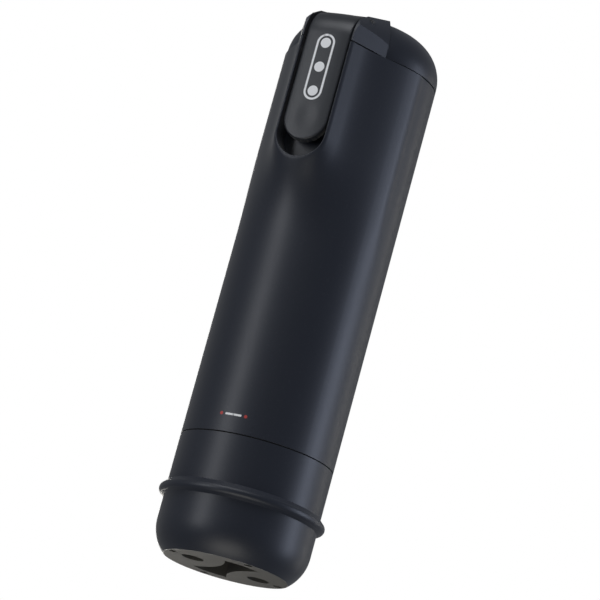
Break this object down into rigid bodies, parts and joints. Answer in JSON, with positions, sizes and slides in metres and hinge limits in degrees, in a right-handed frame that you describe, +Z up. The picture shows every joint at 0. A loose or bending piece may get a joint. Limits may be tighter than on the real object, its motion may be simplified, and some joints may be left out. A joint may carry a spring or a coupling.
{
  "type": "tennis ball pressurizer",
  "caption": "Upright canister for stacked tennis balls, with a hinged lid, a lever latch and a pump handle in the flanged base.",
  "frame": {"origin": "centre of the base's bottom face, on the tube's axis", "axes": "+Z up along the tube; the latch lever faces -Y and the lid hinge is on the +Y side"},
  "size_m": [0.091, 0.1027, 0.308],
  "materials": {
    "soft_navy": "soft-touch satin coat",
    "lever_grey": "satin soft-touch coat",
    "plate_grey": "fine moulded grain",
    "liner_alloy": "drawn and anodised",
    "nylon": "glass-filled, moulded",
    "seal_rubber": "matt",
    "screw_steel": "zinc plated",
    "hook_steel": "pressed and zinc plated",
    "spring_steel": "bright",
    "brass": "turned"
  },
  "bodies": {
    "canister": {"outer_tube": "soft_navy", "pressure_liner": "liner_alloy", "rim_ring": "nylon", "chamber_floor": "nylon", "floor_seal": "seal_rubber", "inlet_cage": "nylon", "inlet_spring": "spring_steel", "relief_spring": "spring_steel", "relief_plug": "brass", "pump_cylinder": "liner_alloy", "cylinder_screws": "screw_steel", "cylinder_gland": "nylon", "guide_sleeve": "nylon", "sleeve_screws": "screw_steel", "catch_pin": "screw_steel", "catch_pin_screws": "screw_steel", "hinge_pin": "screw_steel"},
    "inlet_valve": {"inlet_disc": "seal_rubber"},
    "relief_valve": {"relief_poppet": "brass"},
    "lid": {"lid_shell": "soft_navy", "lid_core": "nylon", "lid_gasket": "seal_rubber", "lid_screws": "screw_steel", "lever_pin": "screw_steel"},
    "lever": {"lever_shell": "lever_grey", "lever_hook": "hook_steel", "lever_screws": "screw_steel"},
    "pump_handle": {"base_shell": "soft_navy", "base_plate": "plate_grey", "base_screws": "screw_steel", "piston_rod": "screw_steel", "rod_screw": "screw_steel", "piston": "nylon", "piston_seal": "seal_rubber", "piston_clips": "spring_steel"}
  },
  "joints": [
    {"name": "lid_hinge", "type": "hinge", "parent": "canister", "child": "lid", "pos_m": [0, 0.0445, 0.283], "axis": [-1, 0, 0], "range_deg": [0, 105]},
    {"name": "lever_pivot", "type": "hinge", "parent": "lid", "child": "lever", "pos_m": [0, -0.0365, 0.2955], "axis": [-1, 0, 0], "range_deg": [0, 65]},
    {"name": "pump_slide", "type": "slide", "parent": "canister", "child": "pump_handle", "axis": [0, 0, -1], "range_m": [0, 0.034]},
    {"name": "inlet_lift", "type": "slide", "parent": "canister", "child": "inlet_valve", "axis": [0, 0, 1], "range_m": [0, 0.0015], "stiffness_N_per_m": 20, "springref_m": -0.002, "deforming": ["inlet_spring"]},
    {"name": "relief_lift", "type": "slide", "parent": "canister", "child": "relief_valve", "axis": [0, 0, -1], "range_m": [0, 0.0015], "stiffness_N_per_m": 60, "springref_m": -0.002, "deforming": ["relief_spring"]}
  ]
}
